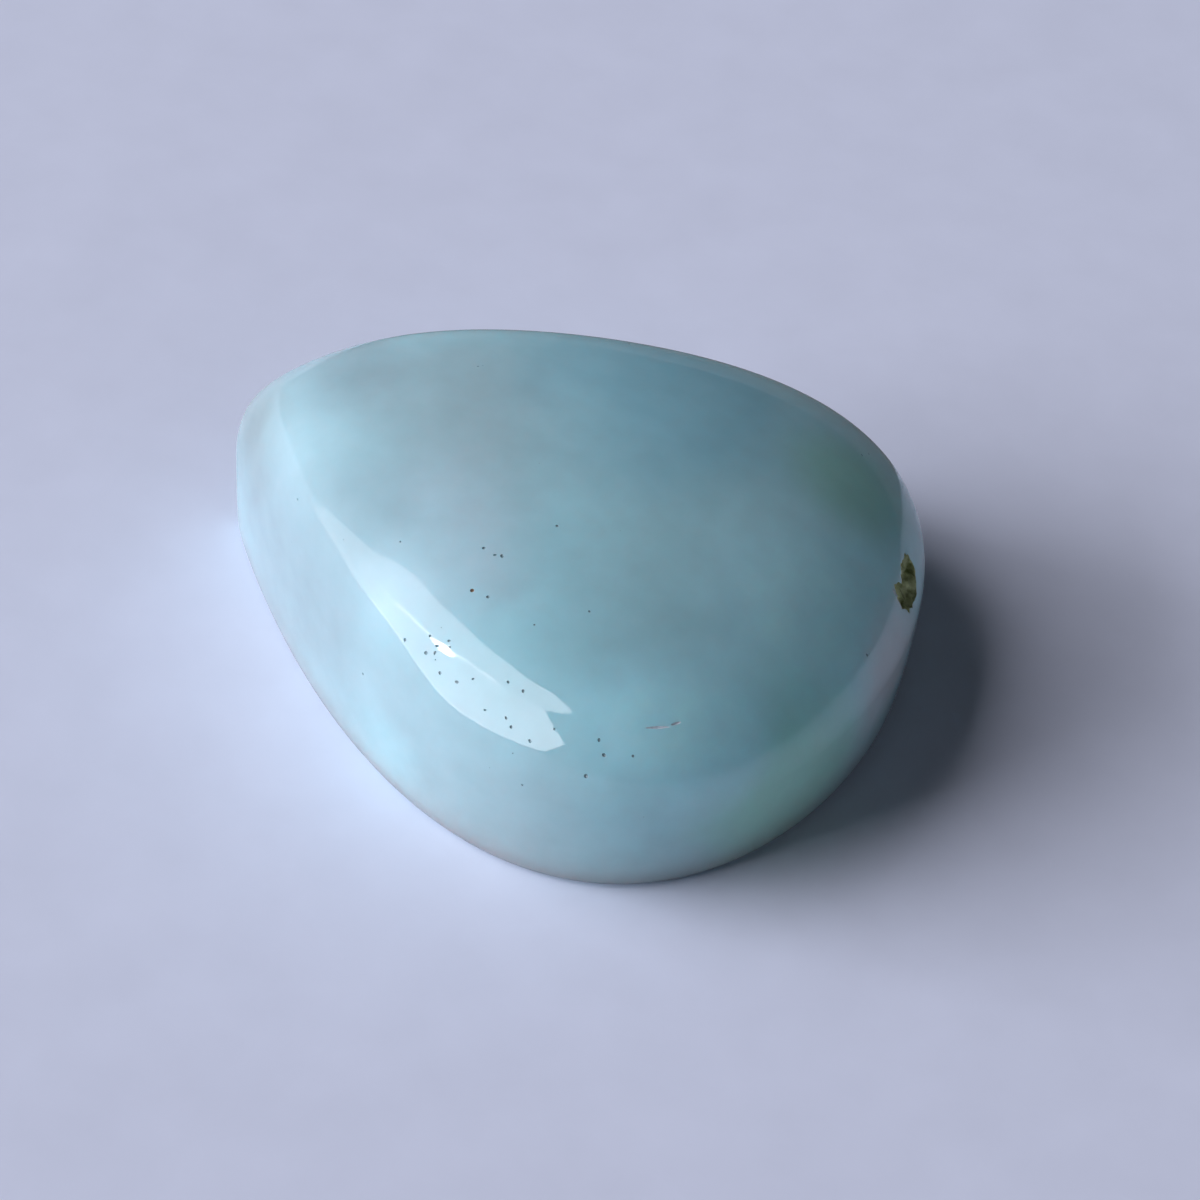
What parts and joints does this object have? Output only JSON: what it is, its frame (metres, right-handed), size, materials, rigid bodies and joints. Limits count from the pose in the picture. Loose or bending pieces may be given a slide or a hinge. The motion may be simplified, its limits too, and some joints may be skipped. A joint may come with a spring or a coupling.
{
  "type": "pear-shaped opal cabochon",
  "caption": "Polished pear-shaped opal cabochon: a domed teardrop of milky blue-green stone with a low wall, a flat ground back and a small open cavity.",
  "frame": {"origin": "centre of the stone's box, on the plane of its flat back", "axes": "+X runs along the stone's length from its tip to its round end, +Z points out of the back through the dome"},
  "size_m": [0.02, 0.017, 0.0076],
  "materials": {
    "opal": "polished"
  },
  "bodies": {
    "root": {"opal": "opal"}
  },
  "joints": []
}
